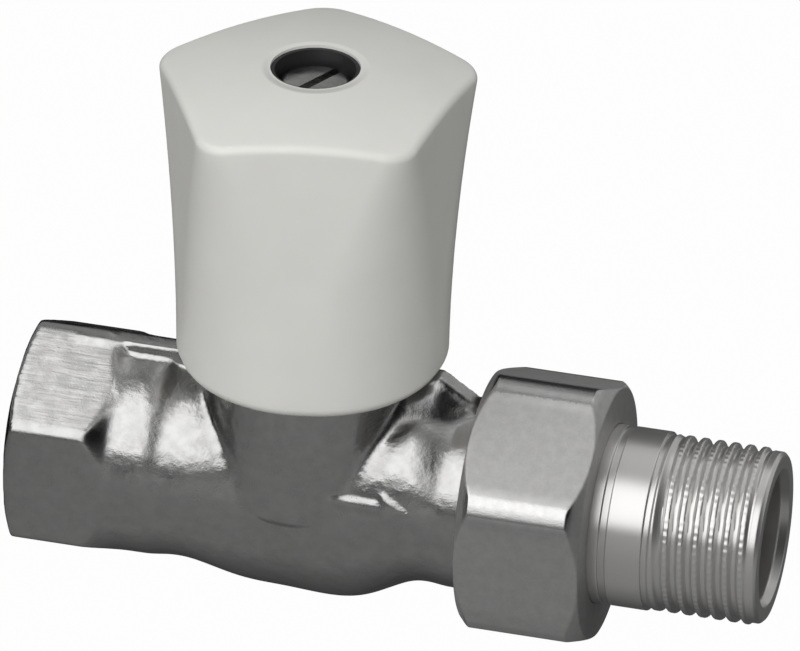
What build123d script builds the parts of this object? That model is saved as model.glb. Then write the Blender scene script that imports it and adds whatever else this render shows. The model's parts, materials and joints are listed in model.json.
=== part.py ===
from build123d import *
import os
from math import cos, pi

# Straight radiator valve: the pipe axis is X, from the inlet face at the origin
# to the tailpiece, and the spindle stands along Z. All sizes are in millimetres.

# Clearances
running_gap = 0.05  # radial, a shaft in its hole and a thread in its thread
seating_gap = 0.05  # round a fixed piece in its pocket
free_gap = 0.3  # between faces that move past each other
corner_up = 90.0  # degrees, turns a hexagon on the pipe axis so that a corner is at the top

# Pipe threads that show, cut as rings at their pitch
thread_pitch = 1.8143  # 14 to the inch
thread_valley = 0.2  # width of a valley's bottom

# Inlet end of the body
inlet_across_flats = 26.0
inlet_turned_radius = 14.75  # the hexagon's corners are turned down to this
inlet_hex_length = 12.2
inlet_corner_run = 2.25  # length along the axis of the cone at the hexagon's inner end
inlet_end_run = 0.8  # and at the mouth
inlet_bore_radius = 9.3155  # internal 1/2 inch pipe thread, minor
inlet_thread_depth = 13.0
inlet_ridge_height = 1.162
inlet_ridge_top = 0.3  # width
inlet_mouth_chamfer = 0.5
neck_radius = 12.9
neck_length = 5.7
neck_round = 0.9

# Globe
spindle_x = 34.3
belly_depth = 15.2
belly_half_width = 11.3
belly_end_x = 40.5
body_wall = 3.0
waist_x = 20.5  # where the globe is drawn in behind the neck
waist_radius = 12.0
waist_depth = 12.6
waist_half_width = 12.3
throat_x = 28.5
throat_radius = 12.0
throat_depth = 14.8
throat_half_width = 11.4
crown_height = 12.5
shoulder_depth = 12.1
shoulder_crown = 13.0
shoulder_x = 47.0
hollow_x = 51.0  # where the globe runs out into the outlet neck
hollow_crown = 12.0
web_height = 15.1  # shoulder web from the boss down to the outlet neck
web_axis_height = 5.0
web_root_x = 44.0
web_corner_x = 50.2
web_boss_width = 17.0
web_corner_width = 10.0
web_neck_width = 7.0
land_width = 2.8  # trimmed forging line along the parting plane
inlet_land_height = 1.6
shoulder_land_height = 0.6
outlet_land_height = 1.1
globe_lap = 1.0  # the globe starts this far inside the neck
globe_step = 0.15  # and is this much smaller at both ends, which leaves a crease

# Bonnet boss
boss_radius = 12.3
boss_top = 19.0
boss_foot = -1.3
boss_foot_round = 1.6

# Outlet end of the body
body_length = 65.0
outlet_neck_radius = 11.4
outlet_neck_start = 54.0
union_thread_radius = 13.22  # male 3/4 inch union thread, major
union_thread_length = 8.2
union_thread_chamfer = 1.0
union_thread_runout = 1.2
outlet_bore_radius = 7.5
socket_depth = 4.0

# Waterways
seat_height = 4.0
seat_rim_height = 1.0
seat_bore_radius = 5.5
seat_rim_radius = 7.5
chamber_radius = 8.5
inlet_passage_radius = 5.2
inlet_passage_drop = 6.2
outlet_passage_radius = 4.6
outlet_passage_rise = 8.0
outlet_passage_fall = 6.6
outlet_passage_reach = 13.0
outlet_bore_start = 49.0
drill_point = 3.0

# Closing disc
seat_washer_radius = 7.3
seat_washer_thickness = 3.0
washer_plate_radius = 4.8
washer_plate_thickness = 0.6
washer_screw_radius = 2.0
washer_screw_head_radius = 3.4
washer_screw_head_height = 2.0
washer_screw_length = 6.0
washer_screw_slot = 0.9
holder_rim_wall = 0.5
holder_rim_depth = 1.5
holder_flange_thickness = 2.0
holder_hub_radius = 5.2
holder_web = 1.0  # between the washer screw's hole and the spindle's socket
retaining_wire_radius = 0.4

# Spindle
spindle_turns = 2.5
spindle_pitch = 1.5
spindle_thread_radius = 4.95
spindle_thread_length = 11.0
spindle_thread_chamfer = 0.6
spindle_neck_radius = 4.0
spindle_tip_radius = 2.8
spindle_tip_length = 4.4
spindle_square = 6.0
spindle_square_length = 7.3
hub_standoff = 0.6  # from the gland nut to the foot of the handwheel's hub

# Bonnet and gland
bonnet_across_flats = 21.0
bonnet_flange_thickness = 1.2
bonnet_hex_height = 5.0
holder_room = 0.8  # round the disc holder's hub as it rises into the bonnet
bonnet_spigot_radius = 10.0
bonnet_neck_radius = 8.2
bonnet_thread_length = 7.0
bonnet_seal_wire = 0.75
boss_seal_radius = 11.0
back_seat_thickness = 0.8
gland_bore_radius = 5.9
gland_spacer_thickness = 0.6
gland_spigot_length = 2.2
gland_nut_across_flats = 14.0
gland_nut_thickness = 2.6

# Handwheel
skirt_overlap = 2.9  # the skirt hangs this far below the boss's top
wheel_flat_radius = 15.9
wheel_flat_flare = 0.5  # how much further the flats stand out at the top
wheel_foot_reach = 16.1
wheel_corner_flare = 3.3  # and how much further the corners reach there
wheel_corner_height = 35.7
wheel_dome_rise = 2.7
wheel_corner_turn = 101.0  # direction of one corner, from +X
wheel_top_round = 1.1
wheel_foot_round = 1.5
wheel_sections = 6
skirt_bore_radius = 13.8
skirt_roof_thickness = 3.0
hub_radius = 7.2
rib_thickness = 1.4
rib_depth = 6.0
insert_radius = 5.2
insert_groove_depth = 0.5
insert_groove_width = 1.6
hub_floor_thickness = 1.1
recess_radius = 5.25
handwheel_screw_radius = 2.0
handwheel_screw_length = 7.0
screw_hole_depth = 6.0
handwheel_screw_head_radius = 4.3
handwheel_screw_head_height = 2.8
handwheel_screw_head_round = 0.7
screw_slot_width = 1.1
screw_slot_depth = 1.3
screw_slot_turn = 62.0
screw_washer_thickness = 0.6
liner_wall = 0.45
liner_rise = 1.6  # of the recess liner above the screw's head

# Union nut
nut_across_flats = 30.0
nut_turned_radius = 16.7
nut_length = 15.0
nut_flange_thickness = 2.5
nut_corner_run = 1.6
nut_turn = 4.4  # degrees, as the nut was left in the photo
nut_mouth_chamfer = 0.8

# Tailpiece
tail_length = 25.65  # from its collar's face to its open end
tail_collar_radius = 12.0
tail_collar_thickness = 3.0
tail_radius = 10.65
tail_groove_start = 1.2  # behind the nut's flange
tail_groove_width = 0.9
tail_groove_depth = 0.35
tail_thread_radius = 10.4775  # male 1/2 inch pipe thread at its gauge plane
tail_thread_length = 13.2
tail_thread_lead = 0.25  # from the thread's start to the middle of its first ridge
tail_thread_runout = 0.6
tail_ridge_height = 0.65  # its ridges are cut short, with wide tops
tail_ridge_top = 0.8
tail_end_chamfer = 1.0
tail_bore_radius = 7.75
tail_mouth_flare = 0.5
tail_nose_radius = 10.15
tail_nose_length = 3.7
tail_seal_wire = 0.6
tail_lug_width = 3.0
tail_lug_height = 1.1
tail_lug_length = 7.0
tail_lug_inset = 3.0

# Heights up the spindle, with the valve closed
lift = spindle_turns * spindle_pitch
holder_flange_bottom = seat_height + seat_washer_thickness
holder_flange_top = holder_flange_bottom + holder_flange_thickness
washer_screw_top = seat_height - washer_plate_thickness + washer_screw_length
socket_floor = washer_screw_top + seating_gap + holder_web
spindle_shoulder = socket_floor + spindle_tip_length
holder_top = spindle_shoulder - free_gap
bonnet_foot = holder_flange_top + lift + free_gap
bonnet_thread_bottom = holder_top + lift + free_gap
bonnet_thread_top = bonnet_thread_bottom + bonnet_thread_length
spindle_thread_top = spindle_shoulder + spindle_thread_length
back_seat_bottom = max(spindle_thread_top, bonnet_thread_top) + lift + free_gap
gland_floor = back_seat_bottom + back_seat_thickness
seal_wire = (gland_bore_radius - spindle_neck_radius) / 2 - running_gap
spacer_bottom = gland_floor + 2 * seal_wire
spacer_top = spacer_bottom + gland_spacer_thickness
gland_spigot_bottom = spacer_top + 2 * seal_wire
bonnet_top = gland_spigot_bottom + gland_spigot_length
gland_nut_top = bonnet_top + gland_nut_thickness
hub_foot = gland_nut_top + hub_standoff
spindle_top = hub_foot + spindle_square_length
hub_floor_bottom = spindle_top + free_gap
hub_floor_top = hub_floor_bottom + hub_floor_thickness
screw_head_bottom = hub_floor_top + screw_washer_thickness
screw_head_top = screw_head_bottom + handwheel_screw_head_height
liner_top = screw_head_top + liner_rise
liner_radius = recess_radius - seating_gap
screw_washer_radius = liner_radius - liner_wall - seating_gap
skirt_bottom = boss_top - skirt_overlap
skirt_roof = skirt_bottom + wheel_corner_height - skirt_roof_thickness
wheel_top = skirt_bottom + wheel_corner_height + wheel_dome_rise
wheel_corner_reach = wheel_foot_reach + wheel_corner_flare
dome_radius = (wheel_corner_reach**2 + wheel_dome_rise**2) / (2 * wheel_dome_rise)
sharp_share = 1 / cos(pi / 5)  # reach of a pentagon with sharp corners, as a share of its flats
insert_middle = (hub_foot + hub_floor_bottom) / 2
wire_height = socket_floor + spindle_tip_length / 2
wire_groove = retaining_wire_radius + seating_gap
wire_ring_radius = spindle_tip_radius + running_gap
holder_radius = seat_washer_radius + seating_gap + holder_rim_wall
screw_seat = seat_height - washer_plate_thickness
seal_pocket_floor = boss_top - 2 * (bonnet_seal_wire + seating_gap)
bonnet_undercut_radius = boss_seal_radius - 2 * (bonnet_seal_wire + seating_gap)
belly_floor = body_wall - belly_depth

# Places along the pipe axis
neck_start = inlet_hex_length / 2  # inside the hexagon
neck_end = inlet_hex_length + neck_length
web_end_x = outlet_neck_start + neck_round
inlet_thread_end = inlet_mouth_chamfer + inlet_thread_depth
union_thread_start = body_length - union_thread_length
collar_back = body_length + tail_collar_thickness
nut_end = collar_back + nut_flange_thickness
nut_start = nut_end - nut_length
tail_end = body_length + tail_length
tail_thread_start = tail_end - tail_thread_length
socket_radius = tail_nose_radius + running_gap
globe_start_radius = neck_radius - globe_step
globe_end_radius = outlet_neck_radius - globe_step
nut_bore_radius = union_thread_radius + running_gap
tail_seal_x = body_length - tail_nose_length / 2
tail_seal_groove = tail_seal_wire + seating_gap
tail_seal_depth = 2 * tail_seal_wire + seating_gap

spindle_axis = Axis((spindle_x, 0, 0), (0, 0, 1))
# Sketch plane through the spindle: local x is the radius, local y the height
spindle_section = Plane(origin=(spindle_x, 0, 0), x_dir=(1, 0, 0), z_dir=(0, -1, 0))


def level(height):
    """Horizontal sketch plane centred on the spindle."""
    return Plane((spindle_x, 0, height))


def turned(outline):
    """Solid turned about the spindle from (radius, height) points."""
    with BuildPart() as blank:
        with BuildSketch(spindle_section):
            with BuildLine():
                Polyline(*outline, close=True)
            make_face()
        revolve(axis=spindle_axis)
    return blank.part


def turned_on_pipe(outline):
    """Solid turned about the pipe axis from (distance, radius) points."""
    with BuildPart() as blank:
        with BuildSketch(Plane.XZ):
            with BuildLine():
                Polyline(*outline, close=True)
            make_face()
        revolve(axis=Axis.X)
    return blank.part


def thread_valleys(first, last, ridge_radius, valley_radius, ridge_top):
    """Outline of a thread's valleys, where first is the middle of a ridge and none passes last."""
    slope = (thread_pitch - ridge_top - thread_valley) / 2
    points = []
    for turn in range(int((last - first) / thread_pitch)):
        start = first + turn * thread_pitch + ridge_top / 2
        end = start + thread_pitch - ridge_top
        points += [
            (start, ridge_radius),
            (start + slope, valley_radius),
            (end - slope, valley_radius),
            (end, ridge_radius),
        ]
    return points


def seal_ring(ring_radius, wire_radius, height):
    """O-ring about the spindle, lying on the given height."""
    with BuildPart() as ring:
        with Locations((spindle_x, 0, height + wire_radius)):
            Torus(ring_radius, wire_radius)
    return ring.part


def hexagon_bar(across_flats, turned_radius, start, length, corner_turn, start_run, end_run):
    """Hexagon along the pipe axis, its corners turned down and coned at both ends."""
    flat_radius = across_flats / 2
    end = start + length
    with BuildPart() as bar:
        with BuildSketch(Plane.YZ.offset(start)):
            RegularPolygon(flat_radius, 6, major_radius=False, rotation=corner_turn)
        extrude(amount=length)
        turning = turned_on_pipe([
            (start, 0),
            (start, flat_radius),
            (start + start_run, turned_radius),
            (end - end_run, turned_radius),
            (end, flat_radius),
            (end, 0),
        ])
        add(turning, mode=Mode.INTERSECT)
    return bar.part


def shoulder_web():
    """Rounded web that slopes from the boss to the outlet neck and narrows on the way."""
    sections = [
        # place along the pipe, width, top
        (spindle_x, web_boss_width, web_height),
        (web_root_x, web_boss_width, web_height),
        (web_corner_x, web_corner_width, web_height),
        (web_end_x, web_neck_width, outlet_neck_radius),
    ]
    with BuildPart() as web:
        for place, width, top in sections:
            with BuildSketch(Plane.YZ.offset(place)):
                with Locations((0, web_axis_height)):
                    Ellipse(width / 2, top - web_axis_height)
        loft(ruled=True)
    return web.part


# Body: hexagon end, neck, globe, boss, outlet and the trimmed forging line
globe_sections = [
    # place along the pipe, top, bottom, half width
    (neck_end - globe_lap, globe_start_radius, globe_start_radius, globe_start_radius),
    (neck_end + globe_lap, waist_radius, waist_depth, waist_half_width),
    (waist_x, waist_radius, waist_depth, waist_half_width),
    (throat_x, throat_radius, throat_depth, throat_half_width),
    (spindle_x, crown_height, belly_depth, belly_half_width),
    (belly_end_x, crown_height, belly_depth, belly_half_width),
    (shoulder_x, shoulder_crown, shoulder_depth, belly_half_width),
    (hollow_x, hollow_crown, globe_end_radius, globe_end_radius),
    (outlet_neck_start, globe_end_radius, globe_end_radius, globe_end_radius),
]
inlet_passage = Plane((inlet_thread_depth / 2, 0, 0), z_dir=(spindle_x, 0, -inlet_passage_drop))
outlet_passage = Plane(
    (spindle_x + chamber_radius / 2, 0, outlet_passage_rise),
    z_dir=(outlet_passage_reach, 0, -outlet_passage_fall),
)

with BuildPart() as valve_body:
    add(hexagon_bar(
        inlet_across_flats, inlet_turned_radius, 0, inlet_hex_length,
        corner_up, inlet_end_run, inlet_corner_run,
    ))
    with BuildSketch(Plane.XZ) as neck_section:
        with Locations((neck_start, 0)):
            Rectangle(neck_end - neck_start, neck_radius, align=Align.MIN)
        fillet(neck_section.vertices().sort_by(Axis.X)[-2:].sort_by(Axis.Y)[-1], neck_round)
    revolve(axis=Axis.X)
    for place, top, bottom, half_width in globe_sections:
        with BuildSketch(Plane.YZ.offset(place)):
            with Locations((0, (top - bottom) / 2)):
                Ellipse(half_width, (top + bottom) / 2)
    loft()
    with BuildSketch(spindle_section) as boss_section:
        with Locations((0, boss_foot)):
            Rectangle(boss_radius, boss_top - boss_foot, align=Align.MIN)
        fillet(boss_section.vertices().sort_by(Axis.Y)[:2].sort_by(Axis.X)[-1], boss_foot_round)
    revolve(axis=spindle_axis)
    add(turned_on_pipe([
        (outlet_neck_start - neck_round, 0),
        (outlet_neck_start - neck_round, outlet_neck_radius),
        (union_thread_start - union_thread_runout, outlet_neck_radius),
        (union_thread_start, union_thread_radius),
        (body_length - union_thread_chamfer, union_thread_radius),
        (body_length, union_thread_radius - union_thread_chamfer),
        (body_length, 0),
    ]))
    add(shoulder_web())
    with BuildSketch(Plane.XZ):
        with BuildLine():
            Polyline(
                (neck_start, 0),
                (neck_start, neck_radius + inlet_land_height),
                (spindle_x, neck_radius + inlet_land_height),
                (spindle_x, web_height + shoulder_land_height),
                (web_corner_x, web_height + shoulder_land_height),
                (web_end_x, outlet_neck_radius + outlet_land_height),
                (web_end_x, 0),
                close=True,
            )
        make_face()
    extrude(amount=land_width / 2, both=True)
    # Waterways
    add(turned_on_pipe([
        (0, 0),
        (0, inlet_bore_radius + inlet_mouth_chamfer),
        (inlet_mouth_chamfer, inlet_bore_radius),
        *thread_valleys(
            inlet_mouth_chamfer, inlet_thread_end,
            inlet_bore_radius, inlet_bore_radius + inlet_ridge_height, inlet_ridge_top,
        ),
        (inlet_thread_end, inlet_bore_radius),
        (inlet_thread_end + drill_point, 0),
    ]), mode=Mode.SUBTRACT)
    add(turned_on_pipe([
        (outlet_bore_start - drill_point, 0),
        (outlet_bore_start, outlet_bore_radius),
        (body_length - socket_depth, outlet_bore_radius),
        (body_length - socket_depth, socket_radius),
        (body_length, socket_radius),
        (body_length, 0),
    ]), mode=Mode.SUBTRACT)
    add(turned([
        (0, belly_floor),
        (seat_bore_radius / 2, belly_floor),
        (seat_bore_radius, belly_floor + seat_bore_radius / 2),
        (seat_bore_radius, seat_height),
        (0, seat_height),
    ]), mode=Mode.SUBTRACT)
    add(turned([
        (0, seat_height),
        (seat_rim_radius, seat_height),
        (seat_rim_radius, seat_height - seat_rim_height),
        (chamber_radius, seat_height - seat_rim_height),
        (chamber_radius, bonnet_foot - free_gap),
        (bonnet_spigot_radius + seating_gap, bonnet_foot - free_gap),
        (bonnet_spigot_radius + seating_gap, seal_pocket_floor),
        (boss_seal_radius, seal_pocket_floor),
        (boss_seal_radius, boss_top),
        (0, boss_top),
    ]), mode=Mode.SUBTRACT)
    with BuildSketch(inlet_passage):
        Circle(inlet_passage_radius)
    extrude(amount=spindle_x - inlet_thread_depth / 2, mode=Mode.SUBTRACT)
    with BuildSketch(outlet_passage):
        Circle(outlet_passage_radius)
    extrude(amount=outlet_passage_reach, mode=Mode.SUBTRACT)

# Bonnet: spigot in the boss, hexagon, spindle thread and gland
with BuildPart() as bonnet:
    add(turned([
        (0, bonnet_foot),
        (bonnet_spigot_radius, bonnet_foot),
        (bonnet_spigot_radius, seal_pocket_floor - free_gap),
        (bonnet_undercut_radius, seal_pocket_floor - free_gap),
        (bonnet_undercut_radius, boss_top),
        (boss_radius, boss_top),
        (boss_radius, boss_top + bonnet_flange_thickness),
        (bonnet_neck_radius, boss_top + bonnet_flange_thickness),
        (bonnet_neck_radius, bonnet_top),
        (0, bonnet_top),
    ]))
    with BuildSketch(level(boss_top)):
        RegularPolygon(bonnet_across_flats / 2, 6, major_radius=False)
    extrude(amount=bonnet_flange_thickness + bonnet_hex_height)
    add(turned([
        (0, bonnet_foot),
        (holder_hub_radius + holder_room, bonnet_foot),
        (holder_hub_radius + holder_room, bonnet_thread_bottom),
        (spindle_thread_radius + running_gap, bonnet_thread_bottom),
        (spindle_thread_radius + running_gap, bonnet_thread_top),
        (spindle_thread_radius + free_gap, bonnet_thread_top),
        (spindle_thread_radius + free_gap, back_seat_bottom),
        (spindle_neck_radius + running_gap, back_seat_bottom),
        (spindle_neck_radius + running_gap, gland_floor),
        (gland_bore_radius, gland_floor),
        (gland_bore_radius, bonnet_top),
        (0, bonnet_top),
    ]), mode=Mode.SUBTRACT)

with BuildPart() as bonnet_seal:
    add(seal_ring(boss_seal_radius - bonnet_seal_wire - seating_gap, bonnet_seal_wire, seal_pocket_floor))

# Spindle seals and the nut that holds them
seal_ring_radius = (gland_bore_radius + spindle_neck_radius) / 2
with BuildPart() as lower_spindle_seal:
    add(seal_ring(seal_ring_radius, seal_wire, gland_floor))

with BuildPart() as gland_spacer:
    with BuildSketch(level(spacer_bottom)):
        Circle(gland_bore_radius - seating_gap)
        Circle(spindle_neck_radius + running_gap, mode=Mode.SUBTRACT)
    extrude(amount=gland_spacer_thickness)

with BuildPart() as upper_spindle_seal:
    add(seal_ring(seal_ring_radius, seal_wire, spacer_top))

with BuildPart() as gland_nut:
    with BuildSketch(level(gland_spigot_bottom)):
        Circle(gland_bore_radius - seating_gap)
    extrude(amount=gland_spigot_length)
    with BuildSketch(level(bonnet_top)):
        RegularPolygon(gland_nut_across_flats / 2, 6, major_radius=False)
    extrude(amount=gland_nut_thickness)
    with BuildSketch(level(gland_spigot_bottom)):
        Circle(spindle_neck_radius + running_gap)
    extrude(amount=gland_spigot_length + gland_nut_thickness, mode=Mode.SUBTRACT)

# Spindle: swivelling tip, thread, neck and square, tapped for the handwheel screw
with BuildPart() as spindle:
    add(turned([
        (0, socket_floor),
        (spindle_tip_radius, socket_floor),
        (spindle_tip_radius, wire_height - wire_groove),
        (spindle_tip_radius - retaining_wire_radius, wire_height - wire_groove),
        (spindle_tip_radius - retaining_wire_radius, wire_height + wire_groove),
        (spindle_tip_radius, wire_height + wire_groove),
        (spindle_tip_radius, spindle_shoulder),
        (spindle_thread_radius - spindle_thread_chamfer, spindle_shoulder),
        (spindle_thread_radius, spindle_shoulder + spindle_thread_chamfer),
        (spindle_thread_radius, spindle_thread_top - spindle_thread_chamfer),
        (spindle_neck_radius, spindle_thread_top),
        (spindle_neck_radius, hub_foot),
        (0, hub_foot),
    ]))
    with BuildSketch(level(hub_foot)):
        Rectangle(spindle_square, spindle_square)
        Circle(spindle_neck_radius, mode=Mode.INTERSECT)
    extrude(amount=spindle_square_length)
    with Locations(level(spindle_top)):
        Hole(handwheel_screw_radius + seating_gap, depth=screw_hole_depth)

# Closing disc: holder, rubber washer, plate, screw and the wire that keeps it on the spindle
with BuildPart() as disc_holder:
    add(turned([
        (0, holder_flange_bottom),
        (seat_washer_radius + seating_gap, holder_flange_bottom),
        (seat_washer_radius + seating_gap, holder_flange_bottom - holder_rim_depth),
        (holder_radius, holder_flange_bottom - holder_rim_depth),
        (holder_radius, holder_flange_top),
        (holder_hub_radius, holder_flange_top),
        (holder_hub_radius, holder_top),
        (0, holder_top),
    ]))
    with BuildSketch(level(holder_flange_bottom)):
        Circle(washer_screw_radius + seating_gap)
    extrude(amount=washer_screw_top + seating_gap - holder_flange_bottom, mode=Mode.SUBTRACT)
    add(turned([
        (0, socket_floor),
        (spindle_tip_radius + running_gap, socket_floor),
        (spindle_tip_radius + running_gap, wire_height - wire_groove),
        (wire_ring_radius + retaining_wire_radius + seating_gap, wire_height - wire_groove),
        (wire_ring_radius + retaining_wire_radius + seating_gap, wire_height + wire_groove),
        (spindle_tip_radius + running_gap, wire_height + wire_groove),
        (spindle_tip_radius + running_gap, holder_top),
        (0, holder_top),
    ]), mode=Mode.SUBTRACT)

with BuildPart() as disc_retaining_ring:
    add(seal_ring(wire_ring_radius, retaining_wire_radius, wire_height - retaining_wire_radius))

with BuildPart() as seat_washer:
    with BuildSketch(level(seat_height)):
        Circle(seat_washer_radius)
        Circle(washer_screw_radius + seating_gap, mode=Mode.SUBTRACT)
    extrude(amount=seat_washer_thickness)

with BuildPart() as washer_plate:
    with BuildSketch(level(seat_height - washer_plate_thickness)):
        Circle(washer_plate_radius)
        Circle(washer_screw_radius + seating_gap, mode=Mode.SUBTRACT)
    extrude(amount=washer_plate_thickness)

with BuildPart() as washer_screw:
    with BuildSketch(level(screw_seat)):
        Circle(washer_screw_radius)
    extrude(amount=washer_screw_length)
    with BuildSketch(level(screw_seat - washer_screw_head_height)):
        Circle(washer_screw_head_radius)
    extrude(amount=washer_screw_head_height)
    with BuildSketch(level(screw_seat - washer_screw_head_height)):
        Rectangle(2 * washer_screw_head_radius, washer_screw_slot)
    extrude(amount=washer_screw_head_height / 2, mode=Mode.SUBTRACT)

# Handwheel: five-cornered skirt that flares upwards under a shallow dome
with BuildPart() as handwheel:
    for step in range(wheel_sections + 1):
        share = step / wheel_sections
        height = skirt_bottom + share * (wheel_top - skirt_bottom)
        spread = ((height - skirt_bottom) / wheel_corner_height) ** 2
        flat = wheel_flat_radius + wheel_flat_flare * spread
        reach = wheel_foot_reach + wheel_corner_flare * spread
        corner_round = (flat * sharp_share - reach) / (sharp_share - 1)
        with BuildSketch(level(height)) as section:
            RegularPolygon(flat, 5, major_radius=False, rotation=wheel_corner_turn)
            fillet(section.vertices(), corner_round)
    loft()
    with Locations((spindle_x, 0, wheel_top - dome_radius)):
        Sphere(dome_radius, mode=Mode.INTERSECT)
    dome = handwheel.faces().filter_by(GeomType.SPHERE)
    fillet(dome.edges(), wheel_top_round)
    fillet(handwheel.edges().group_by(Axis.Z)[0], wheel_foot_round)
    add(turned([
        (0, skirt_bottom),
        (skirt_bore_radius, skirt_bottom),
        (skirt_bore_radius, skirt_roof - skirt_roof_thickness),
        (skirt_bore_radius - skirt_roof_thickness, skirt_roof),
        (hub_radius, skirt_roof),
        (hub_radius, hub_foot),
        (0, hub_foot),
    ]), mode=Mode.SUBTRACT)
    with BuildSketch(level(skirt_roof - rib_depth)):
        with PolarLocations((hub_radius + skirt_bore_radius) / 2, 5, start_angle=wheel_corner_turn):
            Rectangle(skirt_bore_radius - hub_radius + rib_thickness, rib_thickness)
    extrude(amount=rib_depth)
    add(turned([
        (0, hub_foot),
        (insert_radius + seating_gap, hub_foot),
        (insert_radius + seating_gap, hub_floor_bottom),
        (handwheel_screw_radius + free_gap, hub_floor_bottom),
        (handwheel_screw_radius + free_gap, hub_floor_top),
        (recess_radius, hub_floor_top),
        (recess_radius, wheel_top),
        (0, wheel_top),
    ]), mode=Mode.SUBTRACT)

with BuildPart() as handwheel_insert:
    add(turned([
        (0, hub_foot),
        (insert_radius, hub_foot),
        (insert_radius, insert_middle - insert_groove_width / 2),
        (insert_radius - insert_groove_depth, insert_middle - insert_groove_width / 2),
        (insert_radius - insert_groove_depth, insert_middle + insert_groove_width / 2),
        (insert_radius, insert_middle + insert_groove_width / 2),
        (insert_radius, hub_floor_bottom),
        (0, hub_floor_bottom),
    ]))
    with BuildSketch(level(hub_foot)):
        Rectangle(spindle_square + 2 * seating_gap, spindle_square + 2 * seating_gap)
        Circle(spindle_neck_radius + seating_gap, mode=Mode.INTERSECT)
    extrude(amount=hub_floor_bottom - hub_foot, mode=Mode.SUBTRACT)

with BuildPart() as recess_liner:
    with BuildSketch(level(hub_floor_top)):
        Circle(liner_radius)
        Circle(liner_radius - liner_wall, mode=Mode.SUBTRACT)
    extrude(amount=liner_top - hub_floor_top)

with BuildPart() as screw_washer:
    with BuildSketch(level(hub_floor_top)):
        Circle(screw_washer_radius)
        Circle(handwheel_screw_radius + free_gap, mode=Mode.SUBTRACT)
    extrude(amount=screw_washer_thickness)

with BuildPart() as handwheel_screw:
    with BuildSketch(level(screw_head_bottom)):
        Circle(handwheel_screw_head_radius)
    extrude(amount=handwheel_screw_head_height)
    fillet(handwheel_screw.edges().group_by(Axis.Z)[-1], handwheel_screw_head_round)
    with BuildSketch(level(screw_head_bottom)):
        Circle(handwheel_screw_radius)
    extrude(amount=-handwheel_screw_length)
    with BuildSketch(level(screw_head_top)):
        Rectangle(2 * handwheel_screw_head_radius, screw_slot_width, rotation=screw_slot_turn)
    extrude(amount=-screw_slot_depth, mode=Mode.SUBTRACT)

# Union nut
with BuildPart() as union_nut:
    add(hexagon_bar(
        nut_across_flats, nut_turned_radius, nut_start, nut_length,
        corner_up + nut_turn, nut_corner_run, nut_corner_run,
    ))
    add(turned_on_pipe([
        (nut_start, 0),
        (nut_start, nut_bore_radius + nut_mouth_chamfer),
        (nut_start + nut_mouth_chamfer, nut_bore_radius),
        (collar_back, nut_bore_radius),
        (collar_back, tail_radius + running_gap),
        (nut_end, tail_radius + running_gap),
        (nut_end, 0),
    ]), mode=Mode.SUBTRACT)

# Tailpiece: sealed nose, collar, plain shank, pipe thread and two key lugs in its bore
with BuildPart() as tailpiece:
    add(turned_on_pipe([
        (body_length - tail_nose_length, tail_bore_radius),
        (body_length - tail_nose_length, tail_nose_radius),
        (tail_seal_x - tail_seal_groove, tail_nose_radius),
        (tail_seal_x - tail_seal_groove, tail_nose_radius - tail_seal_depth),
        (tail_seal_x + tail_seal_groove, tail_nose_radius - tail_seal_depth),
        (tail_seal_x + tail_seal_groove, tail_nose_radius),
        (body_length, tail_nose_radius),
        (body_length, tail_collar_radius),
        (collar_back, tail_collar_radius),
        (collar_back, tail_radius),
        (nut_end + tail_groove_start, tail_radius),
        (nut_end + tail_groove_start, tail_radius - tail_groove_depth),
        (nut_end + tail_groove_start + tail_groove_width, tail_radius - tail_groove_depth),
        (nut_end + tail_groove_start + tail_groove_width, tail_radius),
        (tail_thread_start - tail_thread_runout, tail_radius),
        (tail_thread_start - tail_thread_runout, tail_radius - tail_groove_depth),
        (tail_thread_start, tail_radius - tail_groove_depth),
        (tail_thread_start, tail_thread_radius),
        *thread_valleys(
            tail_thread_start + tail_thread_lead, tail_end - tail_end_chamfer,
            tail_thread_radius, tail_thread_radius - tail_ridge_height, tail_ridge_top,
        ),
        (tail_end - tail_end_chamfer, tail_thread_radius),
        (tail_end, tail_thread_radius - tail_end_chamfer),
        (tail_end, tail_bore_radius + tail_mouth_flare),
        (tail_end - tail_end_chamfer, tail_bore_radius),
    ]))
    with BuildSketch(Plane.YZ.offset(tail_end - tail_lug_inset)):
        with PolarLocations(tail_bore_radius, 2):
            Rectangle(2 * tail_lug_height, tail_lug_width)
    extrude(amount=-tail_lug_length)

with BuildPart() as tail_seal:
    with Locations(Location((tail_seal_x, 0, 0), (0, 90, 0))):
        Torus(tail_nose_radius - tail_seal_wire, tail_seal_wire)

pieces = {
    "valve_body": valve_body,
    "bonnet": bonnet,
    "bonnet_seal": bonnet_seal,
    "lower_spindle_seal": lower_spindle_seal,
    "gland_spacer": gland_spacer,
    "upper_spindle_seal": upper_spindle_seal,
    "gland_nut": gland_nut,
    "spindle": spindle,
    "disc_holder": disc_holder,
    "disc_retaining_ring": disc_retaining_ring,
    "seat_washer": seat_washer,
    "washer_plate": washer_plate,
    "washer_screw": washer_screw,
    "handwheel": handwheel,
    "handwheel_insert": handwheel_insert,
    "recess_liner": recess_liner,
    "screw_washer": screw_washer,
    "handwheel_screw": handwheel_screw,
    "union_nut": union_nut,
    "tailpiece": tailpiece,
    "tail_seal": tail_seal,
}
os.makedirs("parts", exist_ok=True)
for name, piece in pieces.items():
    piece.part.label = name
    export_step(piece.part, f"parts/{name}.step")
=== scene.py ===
import json
from math import cos, pi, radians, sin, tau

import bmesh
import bpy
import numpy as np
from bpy.props import FloatProperty, FloatVectorProperty, IntProperty, PointerProperty
from bpy.types import NodeSocket, Operator, Panel, PropertyGroup
from mathutils import Matrix, Vector, noise


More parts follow.
